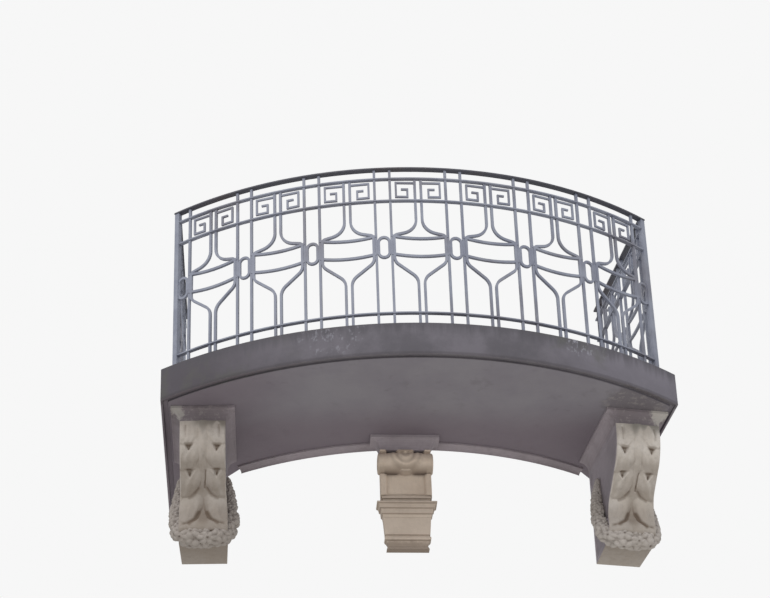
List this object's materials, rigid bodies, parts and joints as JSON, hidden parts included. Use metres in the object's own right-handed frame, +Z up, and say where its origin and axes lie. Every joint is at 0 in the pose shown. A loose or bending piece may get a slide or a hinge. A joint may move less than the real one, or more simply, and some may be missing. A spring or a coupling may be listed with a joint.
{
  "type": "wrought iron balcony",
  "caption": "Balcony with a curved iron railing of bell and key scrollwork on a bowed slab, carried by scroll consoles and a corbel on a rounded wall corner.",
  "frame": {"origin": "on the flat back face of the centre corbel, below the middle of the balcony", "axes": "+X to the right as seen from the street, +Y into the wall, +Z up"},
  "size_m": [2.5715, 1.5788, 1.836],
  "materials": {
    "railing_iron": "weathered pale blue-grey paint",
    "handrail_iron": "worn dark brown-grey paint",
    "concrete": "weathered dark grey concrete, stained",
    "grey_plaster": "smooth grey-mauve painted plaster",
    "cream_stucco": "cream painted stucco, weathered"
  },
  "bodies": {
    "root": {"slab": "concrete", "bed_moulding_left": "grey_plaster", "bed_moulding_right": "grey_plaster", "console_left": "cream_stucco", "console_right": "cream_stucco", "console_cap_left": "grey_plaster", "console_cap_right": "grey_plaster", "corbel_cap": "grey_plaster", "corbel_scroll": "cream_stucco", "corbel_foot": "cream_stucco", "handrail_front": "handrail_iron", "handrail_left": "handrail_iron", "handrail_right": "handrail_iron", "upper_rail_front": "railing_iron", "upper_rail_left": "railing_iron", "upper_rail_right": "railing_iron", "frieze_rail_front": "railing_iron", "frieze_rail_left": "railing_iron", "frieze_rail_right": "railing_iron", "bottom_rail_front": "railing_iron", "bottom_rail_left": "railing_iron", "bottom_rail_right": "railing_iron", "corner_post_left": "railing_iron", "corner_post_right": "railing_iron", "wall_post_left": "railing_iron", "wall_post_right": "railing_iron", "uprights_1": "railing_iron", "uprights_2": "railing_iron", "uprights_3": "railing_iron", "uprights_4": "railing_iron", "uprights_5": "railing_iron", "uprights_6": "railing_iron", "uprights_7": "railing_iron", "uprights_8": "railing_iron", "bay_1": "railing_iron", "bay_2": "railing_iron", "bay_3": "railing_iron", "bay_4": "railing_iron", "bay_5": "railing_iron", "bay_6": "railing_iron", "bay_7": "railing_iron", "side_panel_left": "railing_iron", "side_panel_right": "railing_iron"}
  },
  "joints": []
}
